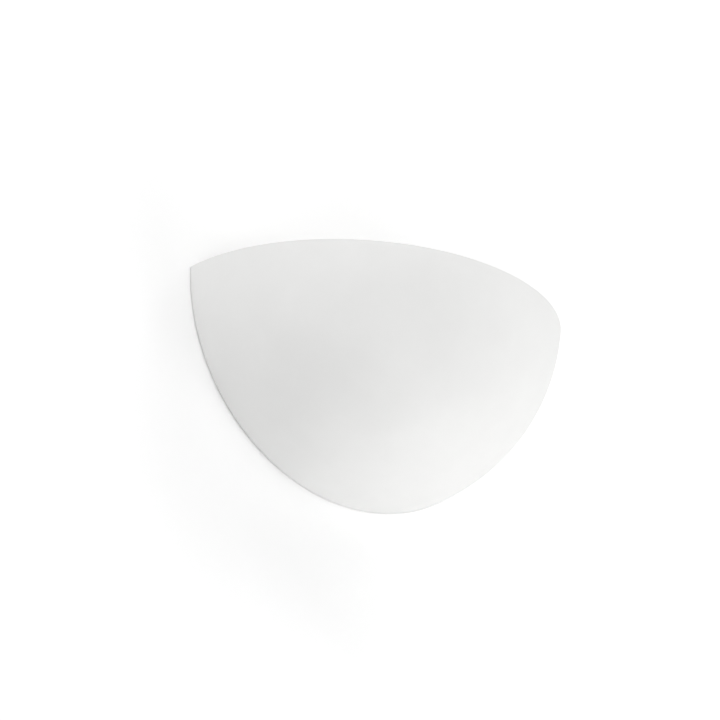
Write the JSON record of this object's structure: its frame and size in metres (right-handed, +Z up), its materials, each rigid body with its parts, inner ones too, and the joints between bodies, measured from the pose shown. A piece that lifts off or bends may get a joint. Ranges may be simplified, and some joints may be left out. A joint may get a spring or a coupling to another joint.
{
  "type": "uplighter wall sconce",
  "caption": "Quarter-sphere plaster uplighter that hangs on a wall plate by hooks, with a lampholder and a small globe lamp inside.",
  "frame": {"origin": "midway between the two wall fixing slots, on the wall plane", "axes": "+X along the wall to the right as seen from the room, +Y into the wall, +Z up; the bowl stands out towards -Y"},
  "size_m": [0.2998, 0.1499, 0.143],
  "materials": {
    "plaster": "matte",
    "felt": "matte",
    "white_steel": "satin",
    "zinc_steel": "satin",
    "black_rubber": "matte",
    "nylon": "satin",
    "brass": "satin",
    "tinned_copper": "satin",
    "nickel": "gloss",
    "lead_live": "satin",
    "lead_neutral": "satin",
    "lead_earth": "satin",
    "porcelain": "gloss",
    "black_glass": "gloss",
    "lamp_plastic": "satin",
    "opal": "satin",
    "board_white": "satin",
    "led_yellow": "satin",
    "board_green": "satin"
  },
  "bodies": {
    "bracket": {"wall_plate": "white_steel", "hook_bracket_left": "white_steel", "hook_bracket_right": "white_steel", "hook_rivets": "zinc_steel", "lamp_arm": "white_steel", "arm_rivets": "zinc_steel", "cable_grommet": "black_rubber", "terminal_block": "nylon", "block_sleeves": "brass", "block_clamp_screws": "zinc_steel", "block_fixing_screws": "zinc_steel", "earth_screw": "zinc_steel", "earth_washer": "zinc_steel", "earth_ring": "tinned_copper", "earth_lead": "lead_earth", "live_lead": "lead_live", "neutral_lead": "lead_neutral", "holder_body": "porcelain", "holder_sleeve": "brass", "holder_contact": "brass", "holder_rivets": "brass", "holder_terminals": "brass", "holder_terminal_screws": "zinc_steel", "holder_screws": "zinc_steel", "holder_washers": "zinc_steel", "holder_nuts": "zinc_steel"},
    "shade": {"plaster_shade": "plaster", "hanger_plate_left": "zinc_steel", "hanger_plate_right": "zinc_steel", "felt_pads": "felt"},
    "lamp": {"lamp_contact": "tinned_copper", "lamp_insulator": "black_glass", "lamp_cap": "nickel", "lamp_collar": "lamp_plastic", "lamp_globe": "opal", "led_board": "board_white", "led_chips": "led_yellow", "driver_board": "board_green"}
  },
  "joints": [
    {"name": "shade_lift", "type": "slide", "parent": "bracket", "child": "shade", "axis": [0, 0, 1], "range_m": [0, 0.009]},
    {"name": "lamp_lift", "type": "slide", "parent": "bracket", "child": "lamp", "axis": [0, 0, 1], "range_m": [0, 0.035]}
  ]
}
